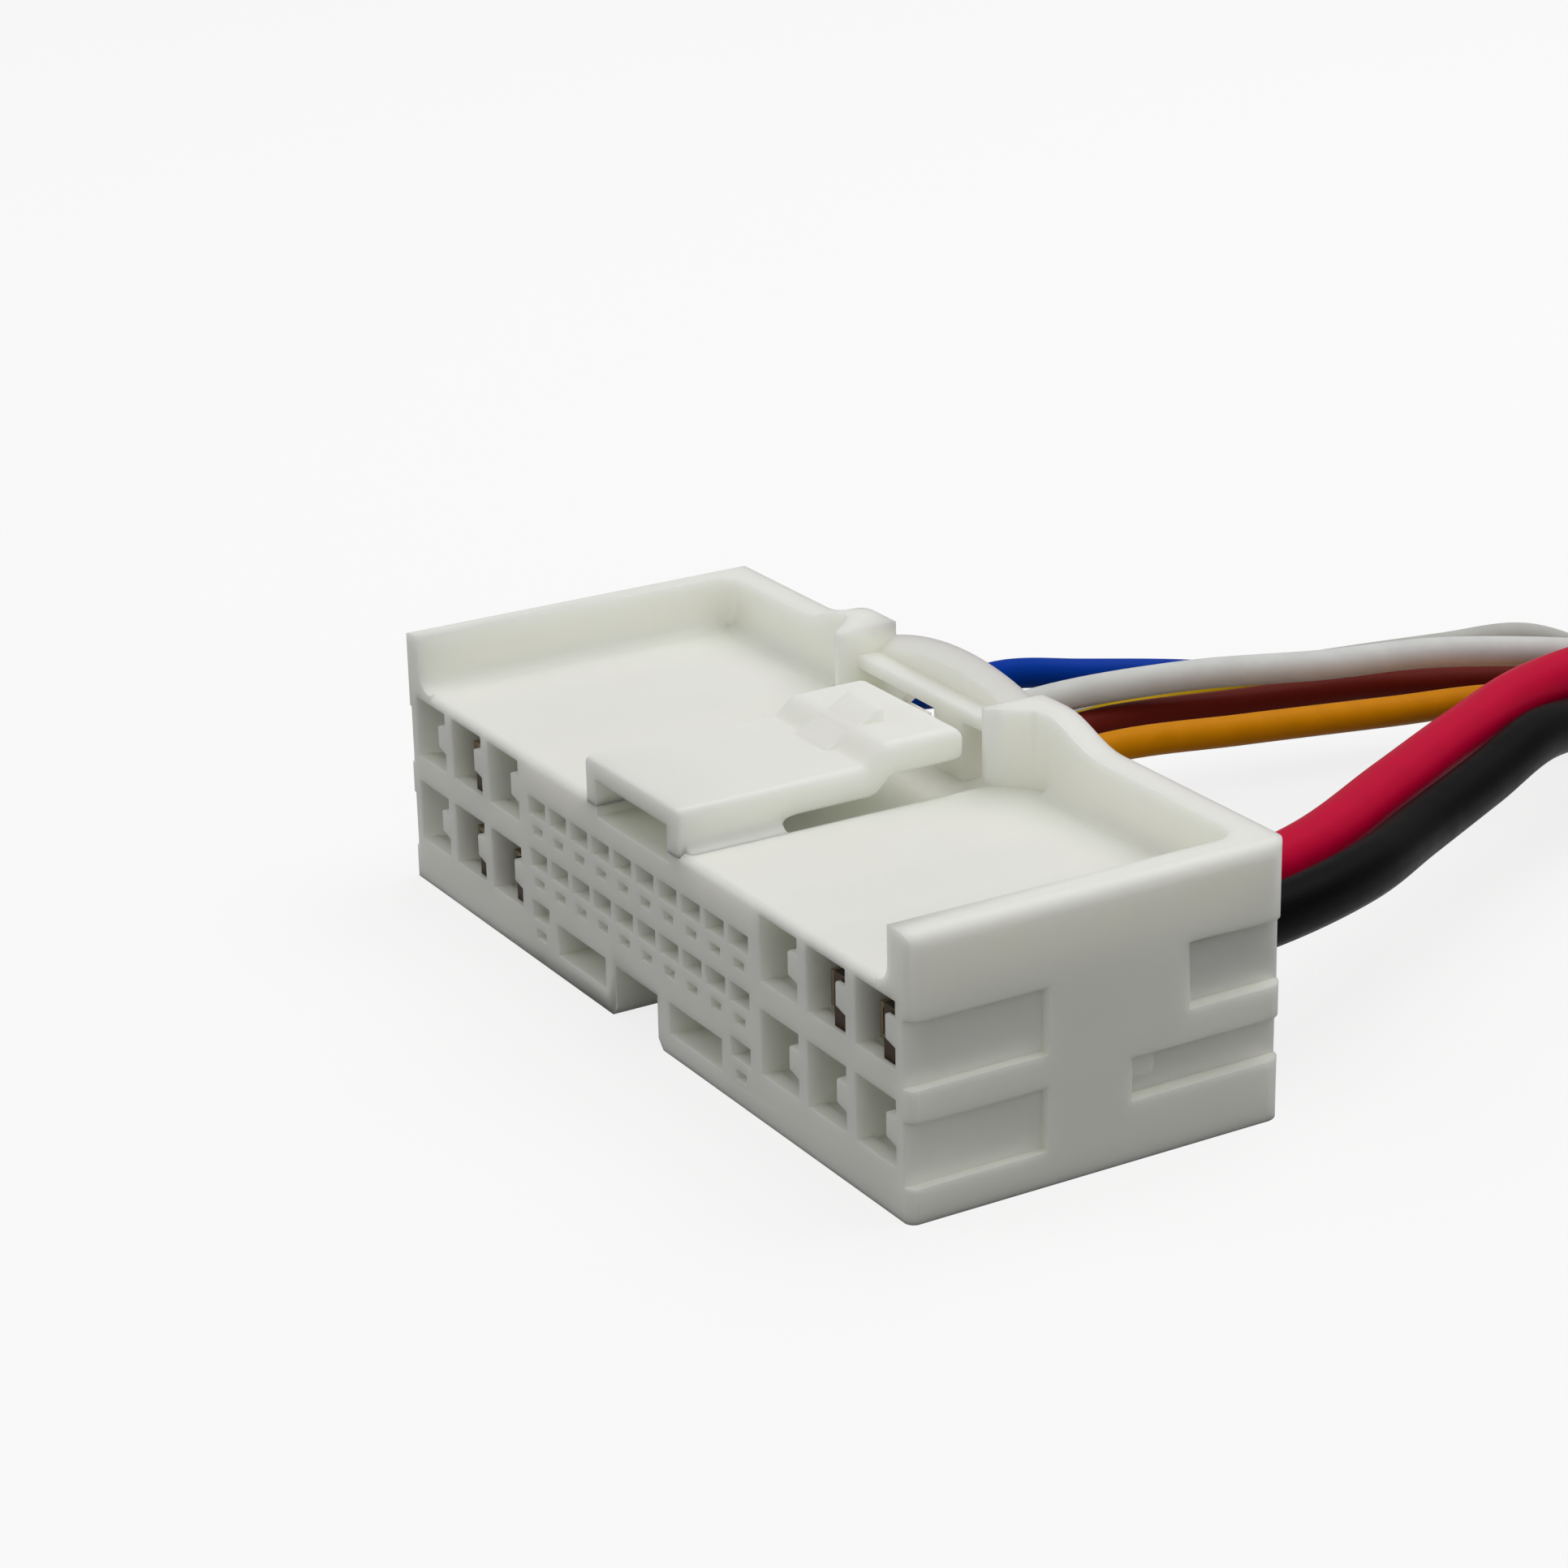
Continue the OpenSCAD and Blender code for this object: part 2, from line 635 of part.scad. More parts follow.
module terminal_blue() {
    power_terminal(blue_at, thin_d);
}

module terminal_grey() {
    power_terminal(grey_at, thin_d);
}

module terminal_yellow() {
    power_terminal(yellow_at, thin_d);
}

module terminal_red() {
    power_terminal(red_at, thick_d);
}

module terminal_black() {
    power_terminal(black_at, thick_d);
}

module terminal_white() {
    signal_terminal(white_at);
}

module terminal_brown() {
    signal_terminal(brown_at);
}

module terminal_orange() {
    signal_terminal(orange_at);
}

module wire_blue() {
    color("#00378f")
        tube(route(blue_at, blue_way, thin_lane(0), thin_low), thin_d);
}

module wire_white() {
    color("#d0d2d0")
        tube(route(white_at, white_way, thin_lane(2), thin_low + lane_step), thin_d);
}

module wire_grey() {
    color("#b4b6b6")
        tube(route(grey_at, grey_way, thin_lane(0), thin_low + lane_step), thin_d);
}

module wire_yellow() {
    color("#b49c10")
        tube(route(yellow_at, yellow_way, thin_lane(1), thin_low), thin_d);
}

module wire_brown() {
    color("#4f1a17")
        tube(route(brown_at, brown_way, thin_lane(1), thin_low + lane_step), thin_d);
}

module wire_orange() {
    color("#b07400")
        tube(route(orange_at, orange_way, thin_lane(2), thin_low), thin_d);
}

module wire_red() {
    color("#be0a3c")
        tube(route(red_at, red_way, thick_r, thick_low + thick_d + lead_gap), thick_d);
}

module wire_black() {
    color("#101010")
        tube(route(black_at, black_way, thick_r, thick_low), thick_d);
}

// The leads' folded length, as one flat solid with a round far end
module wire_hank() {
    color("#80726a")
        translate([hank_x, hank_y, lift])
            linear_extrude(hank_h) {
                translate([-hank_half, 0])
                    square([2 * hank_half, hank_run]);
                translate([0, hank_run])
                    circle(hank_half);
            }
}

// Tie round both runs of the hank
module hank_tie() {
    w = hank_half + tie_t;
    y0 = hank_y + tie_set;
    color("#202020")
        difference() {
            block([hank_x - w, y0, 0], [hank_x + w, y0 + tie_w, hank_h + 2 * tie_t]);
            block([hank_x - hank_half, y0 - eps, tie_t],
                  [hank_x + hank_half, y0 + tie_w + eps, tie_t + hank_h]);
        }
}

housing();
latch_lever();
terminal_blue();
terminal_grey();
terminal_yellow();
terminal_red();
terminal_black();
terminal_white();
terminal_brown();
terminal_orange();
wire_blue();
wire_white();
wire_grey();
wire_yellow();
wire_brown();
wire_orange();
wire_red();
wire_black();
wire_hank();
hank_tie();
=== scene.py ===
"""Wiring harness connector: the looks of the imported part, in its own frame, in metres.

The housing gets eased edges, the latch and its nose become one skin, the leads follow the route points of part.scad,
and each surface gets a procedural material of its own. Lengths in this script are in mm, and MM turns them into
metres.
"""
import math
from collections import namedtuple

import bmesh
import bpy
from mathutils import Matrix, Vector


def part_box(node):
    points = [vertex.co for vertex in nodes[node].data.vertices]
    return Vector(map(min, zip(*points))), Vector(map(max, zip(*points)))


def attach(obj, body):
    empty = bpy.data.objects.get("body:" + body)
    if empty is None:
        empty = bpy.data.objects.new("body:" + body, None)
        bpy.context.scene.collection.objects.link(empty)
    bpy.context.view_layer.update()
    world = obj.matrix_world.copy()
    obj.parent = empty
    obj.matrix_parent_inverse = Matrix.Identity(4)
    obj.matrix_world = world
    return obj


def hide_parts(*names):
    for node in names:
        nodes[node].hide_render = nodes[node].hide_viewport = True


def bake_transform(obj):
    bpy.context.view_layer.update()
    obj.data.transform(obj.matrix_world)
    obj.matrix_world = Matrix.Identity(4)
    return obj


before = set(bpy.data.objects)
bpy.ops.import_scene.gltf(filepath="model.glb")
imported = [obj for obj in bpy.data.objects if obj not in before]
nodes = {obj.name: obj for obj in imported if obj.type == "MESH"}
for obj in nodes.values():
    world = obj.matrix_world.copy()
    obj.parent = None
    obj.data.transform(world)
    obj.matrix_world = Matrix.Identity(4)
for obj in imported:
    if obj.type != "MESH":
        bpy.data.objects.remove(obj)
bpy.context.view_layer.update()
MM = 0.001

# Camera fitted to the photograph: direction in degrees, place, and a lens for a square frame of that width
AZIMUTH, ELEVATION, ROLL = 59.543, 20.873, -1.144
EYE, LENS, FRAME_WIDTH = (155.72, -93.23, 79.92), 91.954, 36.0

# Sizes that part.scad has too: rear face of the housing, top of its decks, ends of the crimps
REAR, DECK, CRIMP_END = 10.1, 10.8, 5.1

# Leads: diameters, the gap between two that touch, full length, and bare strands at the far end
THIN, THICK, GAP = 1.65, 2.8, 0.05
LEAD_LENGTH, STRIPPED, STRAND_COUNT = 150.0, 5.0, 7
# Hank: middle of the fold, where its runs begin, radius of the inner lane, length of a run, height above the floor, and
# the room that the thick lane needs beside the thin ones
HANK_X, HANK_Y, HANK_R, HANK_RUN, LIFT, THICK_ROOM = -8.5, REAR + 54.0, 5.9, 36.0, 0.3, 0.12
THICK_LANE = 3

# A lead starts at its crimp (across, up), goes its way behind the housing (across, from the rear face, up), and then
# takes a lane of the hank, counted from the inside, in a layer
Lead = namedtuple("Lead", "crimp way lane layer colour size")
LEADS = {
    "blue": Lead((-17.55, 8.6), [(-15.5, 6, 7.5), (-14, 10.5, 8.2), (-12.5, 14, 8), (-12, 22, 6.5), (-11, 30, 4.5),
                                 (-8.5, 39, 3), (-5, 48, 1.5)], 0, 0, "#003cab", THIN),
    "white": Lead((-7.7, 7.82), [(-7.5, 8, 9), (-5.5, 16, 9.5), (-4, 24, 9), (-3, 32, 8.5), (-0.5, 42, 7),
                                 (0.5, 49, 4.5)], 2, 1, "#dcdedc", THIN),
    "grey": Lead((-17.55, 3.94), [(-16.5, 8, 4), (-14.5, 18, 4.5), (-13.5, 28, 5), (-10.5, 38, 5.5), (-8.8, 42.5, 5.7),
                                  (-7, 47, 4), (-4, 51, 3)], 0, 1, "#c2c2be", THIN),
    "yellow": Lead((-13.47, 3.94), [(-12.5, 8, 4.5), (-10.5, 17, 6), (-9.5, 28, 6), (-8, 38, 5), (-3.5, 46, 2.5),
                                    (-1.5, 50.5, 1)], 1, 0, "#c9a210", THIN),
    "brown": Lead((-5.5, 7.82), [(-6, 6, 7.5), (-6.5, 12, 7.5), (-6, 20, 7), (-5.5, 28, 6.5), (-5, 36, 5.5),
                                 (-3, 46, 4.5), (-1.5, 50.5, 3)], 1, 1, "#6c1f15", THIN),
    "orange": Lead((-1.1, 7.82), [(-1, 8, 8.5), (-0.5, 16, 8), (-0.5, 26, 7), (-1, 34, 6), (0, 43, 4.5),
                                  (0.5, 49.5, 2)], 2, 0, "#d88a00", THIN),
    "red": Lead((17.55, 8.6), [(15.5, 8, 8.5), (11.5, 16, 8.5), (7.5, 24, 8.5), (4, 32, 8.5), (2.5, 40, 8),
                               (3, 50, 5.5)], THICK_LANE, 1, "#cc0038", THICK),
    "black": Lead((21.63, 8.6), [(19.5, 8, 8.5), (15.5, 15, 8), (12, 22, 8), (8.5, 29, 8), (4.5, 38, 5.5),
                                 (3, 49, 2.5)], THICK_LANE, 0, "#020203", THICK),
}

# Steps of each round corner in the tape's loop and in the latch's rings
CORNER_STEPS = 6

# Power contacts in use, and how far up each one's bent lip, dark with painted shade, shows in the mouth of its cavity
LIP_TOPS = {"blue": 1.2, "grey": 2.0, "yellow": 2.3, "red": 2.8, "black": 2.8}

# Lamps: place in m, diameter in m, power in W, all aimed at the middle of the housing
LAMPS = (("top_softbox", (-0.02, 0.24, 0.46), 0.5, 1.22), ("front_fill", (-0.18, -0.32, 0.2), 0.3, 0.2),
         ("side_fill", (0.45, -0.05, 0.26), 0.3, 0.16))
LAMP_AIM = (0, 0.01, 0.008)


# Objects and meshes
def place(name, data):
    """A new object in the scene."""
    thing = bpy.data.objects.new(name, data)
    bpy.context.scene.collection.objects.link(thing)
    return thing


def mesh_of(bm, name):
    """A bmesh written out as a mesh."""
    mesh = bpy.data.meshes.new(name)
    bm.to_mesh(mesh)
    bm.free()
    return mesh


def evaluated(thing):
    """The mesh that an object's modifiers make."""
    bpy.context.view_layer.update()
    return bpy.data.meshes.new_from_object(thing.evaluated_get(bpy.context.evaluated_depsgraph_get()))


def dress(mesh, material):
    mesh.materials.clear()
    mesh.materials.append(material)


def smooth(mesh):
    mesh.polygons.foreach_set("use_smooth", [True] * len(mesh.polygons))


def even_normals(piece):
    """Large faces keep their flat look beside rounded edges."""
    even = piece.modifiers.new("even", "WEIGHTED_NORMAL")
    even.keep_sharp = True


def keep_mesh(name, mesh, material):
    """A finished mesh as a piece that rides on the plug."""
    dress(mesh, material)
    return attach(place(name, mesh), "plug")


def make_camera():
    azimuth, elevation, roll = (math.radians(a) for a in (AZIMUTH, ELEVATION, ROLL))
    forward = Vector((-math.sin(azimuth) * math.cos(elevation), math.cos(azimuth) * math.cos(elevation),
                      -math.sin(elevation)))
    right = Vector((math.cos(azimuth), math.sin(azimuth), 0.0))
    up = right.cross(forward)
    across = math.cos(roll) * right + math.sin(roll) * up
    upright = math.cos(roll) * up - math.sin(roll) * right
    data = bpy.data.cameras.new("photo_camera")
    data.sensor_fit = "HORIZONTAL"
    data.sensor_width = FRAME_WIDTH
    data.lens = LENS
    data.clip_start = 0.01
    camera = place("photo_camera", data)
    turn = Matrix((across, upright, -forward)).transposed().to_4x4()
    camera.matrix_world = Matrix.Translation(Vector(EYE) * MM) @ turn
    bpy.context.scene.camera = camera


# Materials
def linear(code):
    """An sRGB hex colour as a linear one with alpha."""
    parts = [int(code[i:i + 2], 16) / 255 for i in (1, 3, 5)]
    return [c / 12.92 if c <= 0.04045 else ((c + 0.055) / 1.055) ** 2.4 for c in parts] + [1.0]


def add(tree, kind, settings=None, values=None, links=None):
    """One node with its settings, its unlinked values and what links into it."""
    node = tree.nodes.new(kind)
    for name, value in (settings or {}).items():
        setattr(node, name, value)
    for name, value in (values or {}).items():
        node.inputs[name].default_value = value
    for name, source in (links or {}).items():
        tree.links.new(source, node.inputs[name])
    return node


def empty_tree(owner):
    """The node tree of a material or a world, with nothing in it."""
    owner.use_nodes = True
    owner.node_tree.nodes.clear()
    return owner.node_tree


def new_material(name):
    """An empty material, its tree, and the place on the object that its patterns follow."""
    material = bpy.data.materials.new(name)
    tree = empty_tree(material)
    return material, tree, add(tree, "ShaderNodeTexCoord").outputs["Object"]


def noise(tree, where, scale, detail, roughness=0.5):
    """Soft noise with so many grains to the metre."""
    node = add(tree, "ShaderNodeTexNoise", values={"Scale": scale, "Detail": detail, "Roughness": roughness},
               links={"Vector": where})
    return node.outputs["Fac"]


def between(tree, value, low, high, start=0.0, stop=1.0):
    """A value from start to stop, spread from low to high."""
    node = add(tree, "ShaderNodeMapRange", links={"Value": value},
               values={"From Min": start, "From Max": stop, "To Min": low, "To Max": high})
    return node.outputs["Result"]


def surface(tree, pattern, colours, rough, relief=None, values=None, links=None):
    """A surface whose colour and roughness follow a pattern, with fine relief given as its height, strength and depth."""
    tint = add(tree, "ShaderNodeMix", settings={"data_type": "RGBA"}, values=dict(zip("AB", colours)),
               links={"Factor": pattern})
    sources = {"Base Color": tint.outputs["Result"], "Roughness": between(tree, pattern, *rough)}
    if relief:
        height, strength, depth = relief
        bump = add(tree, "ShaderNodeBump", values={"Strength": strength, "Distance": depth * MM},
                   links={"Height": height})
        sources["Normal"] = bump.outputs["Normal"]
    shader = add(tree, "ShaderNodeBsdfPrincipled", values=values, links={**sources, **(links or {})})
    add(tree, "ShaderNodeOutputMaterial", links={"Surface": shader.outputs["BSDF"]})


def natural_nylon():
    """Unfilled polyamide 66, injection moulded in a spark-eroded tool: off-white, a little see-through, so thin walls
    and inner corners glow warm, with a satin skin and a very faint cloudiness."""
    material, tree, where = new_material("natural_nylon_moulded")
    # Flow clouds about 4 mm across, tool grain of 0.15 mm
    cloud = noise(tree, where, 250.0, 3.0, 0.55)
    grain = noise(tree, where, 6500.0, 2.0)
    # Light runs 1.5 mm through the rims, the guard and the latch, and 0.6 mm under the decks, where the photograph shows
    # no trace of the cavities below
    facing = add(tree, "ShaderNodeSeparateXYZ", links={"Vector": add(tree, "ShaderNodeNewGeometry").outputs["Normal"]})
    height = add(tree, "ShaderNodeSeparateXYZ", links={"Vector": where})
    upward = between(tree, facing.outputs["Z"], 0.0, 1.0, 0.4, 0.95)
    at_deck = between(tree, height.outputs["Z"], 0.0, 1.0, 11.3 * MM, 10.9 * MM)
    on_deck = add(tree, "ShaderNodeMath", settings={"operation": "MULTIPLY"}, links={0: upward, 1: at_deck})
    reach = between(tree, on_deck.outputs[0], 1.5 * MM, 0.6 * MM)
    surface(tree, cloud, (linear("#f6f8ec"), linear("#fafcf1")), (0.44, 0.58), (grain, 0.12, 0.03),
            values={"IOR": 1.53, "Subsurface Weight": 1.0, "Subsurface Radius": (1.0, 1.0, 1.0)},
            links={"Subsurface Scale": reach})
    return material


def pvc_insulation(name, colour):
    """Extruded plasticised PVC: even colour with a soft sheen, slightly wavy from the die and dulled by handling."""
    material, tree, where = new_material("pvc_" + name)
    # Handling marks about 1.5 mm across, die lines of 0.2 mm
    marks = noise(tree, where, 650.0, 4.0, 0.6)
    lines = noise(tree, where, 5000.0, 2.0)
    base = linear(colour)[:3]
    worn, clean = [c * 0.86 for c in base] + [1.0], [min(1.0, c * 1.1 + 0.001) for c in base] + [1.0]
    surface(tree, marks, (worn, clean), (0.36, 0.55), (lines, 0.1, 0.02),
            values={"IOR": 1.53, "Specular IOR Level": 0.04})
    return material


def brass_strip(name, dark, light):
    """Brass strip, stamped and rolled, with fine rolling lines: bright in the cavity, and near-black brown at the lips,
    which is painted shade of the contacts' shaded inside.
    """
    material, tree, where = new_material(name)
    # Rolling lines of 0.08 mm along the strip
    along = add(tree, "ShaderNodeMapping", values={"Scale": (12000.0, 700.0, 12000.0)}, links={"Vector": where})
    lines = noise(tree, along.outputs["Vector"], 1.0, 3.0)
    surface(tree, lines, (linear(dark), linear(light)), (0.4, 0.6), (lines, 0.15, 0.01), values={"Metallic": 1.0})
    return material


def bare_copper():
    """Drawn copper strands, a little tarnished: warm metal, darker between the strands."""
    material, tree, where = new_material("bare_copper_strand")
    # Tarnish patches of about 0.8 mm
    patch = noise(tree, where, 1250.0, 3.0)
    surface(tree, patch, (linear("#9a5a34"), linear("#d08a5c")), (0.2, 0.42), values={"Metallic": 1.0})
    return material


def black_tape():
    """Soft black PVC harness tape: a dull sheen over a fine embossed skin."""
    material, tree, where = new_material("black_pvc_tape")
    # Embossing of 0.25 mm, drawn coarser than real so that it shows
    skin = add(tree, "ShaderNodeTexVoronoi", values={"Scale": 4000.0}, links={"Vector": where})
    wear = noise(tree, where, 400.0, 3.0)
    surface(tree, wear, (linear("#101011"), linear("#242426")), (0.38, 0.6), (skin.outputs["Distance"], 0.25, 0.03),
            values={"IOR": 1.53})
    return material


# Leads
def handles(points):
    """Bezier handles that make one smooth curve through the points."""
    left, right = [], []
    for i, p in enumerate(points):
        before, after = points[max(i - 1, 0)], points[min(i + 1, len(points) - 1)]
        way = (after - before).normalized()
        left.append(p - way * (p - before).length / 3)
        right.append(p + way * (after - p).length / 3)
    return left, right


def curve_length(points, steps=16):
    """Length of that smooth curve."""
    left, right = handles(points)
    total = 0.0
    for i in range(len(points) - 1):
        a, b, c, d = points[i], right[i], left[i + 1], points[i + 1]
        last = a
        for k in range(1, steps + 1):
            t = k / steps
            here = a * (1 - t) ** 3 + b * 3 * t * (1 - t) ** 2 + c * 3 * t * t * (1 - t) + d * t ** 3
            total += (here - last).length
            last = here
    return total


def lead_points(lead):
    """From the crimp through the cavity, along the free run, round the hank's fold and back, in metres."""
    x, z = lead.crimp
    pitch = THIN + GAP
    if lead.lane < THICK_LANE:
        radius = HANK_R + lead.lane * pitch
    else:
        radius = HANK_R + 2 * pitch + (THIN + THICK) / 2 + THICK_ROOM
    level = LIFT + lead.size / 2 + lead.layer * (lead.size + GAP)
    points = [Vector((x, CRIMP_END, z)), Vector((x, REAR + 0.4, z))]
    points += [Vector((px, REAR + py, pz)) for px, py, pz in lead.way]
    points += [Vector((HANK_X + radius, HANK_Y + dy, level)) for dy in (0, 4, HANK_RUN / 2)]
    turn_y, turn_steps = HANK_Y + HANK_RUN, 8
    for k in range(turn_steps + 1):
        angle = math.pi * k / turn_steps
        points.append(Vector((HANK_X + radius * math.cos(angle), turn_y + radius * math.sin(angle), level)))
    left_over = LEAD_LENGTH - curve_length(points)
    points += [Vector((HANK_X - radius, turn_y - left_over * f, level)) for f in (0.5, 1.0)]
    return [p * MM for p in points]


def strand_tree():
    """Twisted bare strands: one helix, repeated round the axis."""
    tree = bpy.data.node_groups.new("stripped_end", "GeometryNodeTree")
    for name, kind in (("Length", "Float"), ("Lay radius", "Float"), ("Strand radius", "Float"), ("Strands", "Int"),
                       ("Material", "Material")):
        tree.interface.new_socket(name, in_out="INPUT", socket_type="NodeSocket" + kind)
    tree.interface.new_socket("Geometry", in_out="OUTPUT", socket_type="NodeSocketGeometry")
    sizes = add(tree, "NodeGroupInput").outputs
    helix = add(tree, "GeometryNodeCurveSpiral", values={"Resolution": 20, "Rotations": 0.8},
                links={"Start Radius": sizes["Lay radius"], "End Radius": sizes["Lay radius"],
                       "Height": sizes["Length"]})
    section = add(tree, "GeometryNodeCurvePrimitiveCircle", values={"Resolution": 8},
                  links={"Radius": sizes["Strand radius"]})
    strand = add(tree, "GeometryNodeCurveToMesh", values={"Fill Caps": True},
                 links={"Curve": helix.outputs["Curve"], "Profile Curve": section.outputs["Curve"]})
    places = add(tree, "GeometryNodePoints", links={"Count": sizes["Strands"]})
    index = add(tree, "GeometryNodeInputIndex").outputs["Index"]
    share = add(tree, "ShaderNodeMath", settings={"operation": "DIVIDE"}, links={0: index, 1: sizes["Strands"]})
    angle = add(tree, "ShaderNodeMath", settings={"operation": "MULTIPLY"}, values={1: math.tau},
                links={0: share.outputs[0]})
    turn = add(tree, "ShaderNodeCombineXYZ", links={"Z": angle.outputs[0]})
    copies = add(tree, "GeometryNodeInstanceOnPoints",
                 links={"Points": places.outputs[0], "Instance": strand.outputs["Mesh"],
                        "Rotation": turn.outputs["Vector"]})
    real = add(tree, "GeometryNodeRealizeInstances", links={"Geometry": copies.outputs["Instances"]})
    dressed = add(tree, "GeometryNodeSetMaterial",
                  links={"Geometry": real.outputs["Geometry"], "Material": sizes["Material"]})
    add(tree, "NodeGroupOutput", links={"Geometry": dressed.outputs["Geometry"]})
    return tree


def grown(tree, inputs):
    """The mesh that a tree makes with these inputs."""
    holder = place("holder", bpy.data.meshes.new("holder"))
    modifier = holder.modifiers.new("tree", "NODES")
    modifier.node_group = tree
    for item in tree.interface.items_tree:
        if item.in_out == "INPUT":
            modifier[item.identifier] = inputs[item.name]
    mesh = evaluated(holder)
    bpy.data.objects.remove(holder)
    return mesh


def stripped_end(name, tip, size):
    """Bare strands that stand out of a lead's insulation, towards -Y, and begin 1 mm inside it."""
    inside = 1.0
    core = size * 0.26 * MM
    mesh = grown(STRANDS, {"Length": (STRIPPED + inside) * MM, "Lay radius": core * 0.62, "Strand radius": core * 0.38,
                           "Strands": STRAND_COUNT, "Material": COPPER})
    start = Matrix.Translation(tip + Vector((0, inside * MM, 0)))
    mesh.transform(start @ Matrix.Rotation(math.pi / 2, 4, "X"))
    return keep_mesh("stripped_end_" + name, mesh, COPPER)


def make_lead(name):
    size = LEADS[name].size
    points = lead_points(LEADS[name])
    data = bpy.data.curves.new("lead_" + name, "CURVE")
    data.dimensions = "3D"
    data.bevel_depth = size / 2 * MM
    data.bevel_resolution = 5
    data.resolution_u = 10
    data.use_fill_caps = True
    spline = data.splines.new("BEZIER")
    spline.bezier_points.add(len(points) - 1)
    for knot, at, before, after in zip(spline.bezier_points, points, *handles(points)):
        knot.handle_left_type = knot.handle_right_type = "FREE"
        knot.co, knot.handle_left, knot.handle_right = at, before, after
    data.materials.append(pvc_insulation(name, LEADS[name].colour))
    lead = place("lead_" + name, data)
    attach(lead, "plug")
    end = stripped_end(name, points[-1], size)
    covers = ["wire_" + name] + (["wire_hank"] if name == "red" else [])
    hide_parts(*covers)


def rounded(half, bottom, top, upper, lower):
    """Points round a rectangle from its upper right corner on, its upper and lower corners with their own radius."""
    points = []
    for k, (sx, z, r) in enumerate(((1, top, upper), (-1, top, upper), (-1, bottom, lower), (1, bottom, lower))):
        centre = z - r if k < 2 else z + r
        for step in range(CORNER_STEPS + 1):
            angle = math.pi / 2 * (k + step / CORNER_STEPS)
            points.append((sx * (half - r) + r * math.cos(angle), centre + r * math.sin(angle)))
    return points


def hank_tie():
    """One turn of harness tape round both runs of the hank."""
    low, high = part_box("hank_tie")
    middle, half = (low + high) / 2, (high - low) / 2
    radius = 0.9 * MM
    bm = bmesh.new()
    rings = []
    for x, z in rounded(half.x, -half.z, half.z, radius, radius):
        rings.append([bm.verts.new((middle.x + x, y, middle.z + z)) for y in (low.y, high.y)])
    for a, b in zip(rings, rings[1:] + rings[:1]):
        bm.faces.new((a[0], b[0], b[1], a[1]))
    bmesh.ops.recalc_face_normals(bm, faces=bm.faces)
    mesh = mesh_of(bm, "hank_tape")
    smooth(mesh)
    tape = keep_mesh("hank_tape", mesh, TAPE)
    wall = tape.modifiers.new("wall", "SOLIDIFY")
    wall.thickness = 0.28 * MM
    wall.offset = -1.0
    soft = tape.modifiers.new("soft", "BEVEL")
    soft.width = 0.06 * MM
    soft.segments = 2
    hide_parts("hank_tie")


# Shapes
def shaped(mesh, tools):
    """A mesh with other meshes cut from it or joined to it."""
    base = place("base", mesh)
    helpers = []
    for operation, other in tools:
        helpers.append(place("helper", other))
        step = base.modifiers.new(operation, "BOOLEAN")
        step.operation = operation
        step.solver = "EXACT"
        step.object = helpers[-1]
    done = evaluated(base)
    for helper in helpers + [base]:
        bpy.data.objects.remove(helper)
    return done


def bevel(bm, edges, width, steps):
    bmesh.ops.bevel(bm, geom=edges, offset=width * MM, offset_type="OFFSET", segments=steps, profile=0.5,
                    affect="EDGES", clamp_overlap=True)


def prism(side, start, end, soft=0.0, along_y=False):
    """A profile in Y and Z as a closed mesh from start to end across, its edges eased; or one in X and Z, along Y."""
    bm = bmesh.new()
    ends = []
    for at in (start, end):
        corners = [(p, at, z) if along_y else (at, p, z) for p, z in side]
        ends.append([bm.verts.new(Vector(corner) * MM) for corner in corners])
        bm.faces.new(ends[-1])
    for i in range(len(side)):
        j = (i + 1) % len(side)
        bm.faces.new((ends[0][i], ends[0][j], ends[1][j], ends[1][i]))
    bmesh.ops.recalc_face_normals(bm, faces=bm.faces)
    if soft:
        bevel(bm, [e for e in bm.edges if e.calc_face_angle(0.0) > math.radians(20)], soft, 3)
    return mesh_of(bm, "prism")


def edge_runs(edges):
    """Edges in groups that share vertices, always in the same order."""
    left, runs = dict.fromkeys(edges), []
    while left:
        run, front = [], [left.popitem()[0]]
        while front:
            edge = front.pop()
            run.append(edge)
            for near in [e for v in edge.verts for e in v.link_edges if e in left]:
                del left[near]
                front.append(near)
        runs.append(run)
    return runs


def weld(bm, distance):
    bmesh.ops.remove_doubles(bm, verts=bm.verts, dist=distance * MM)


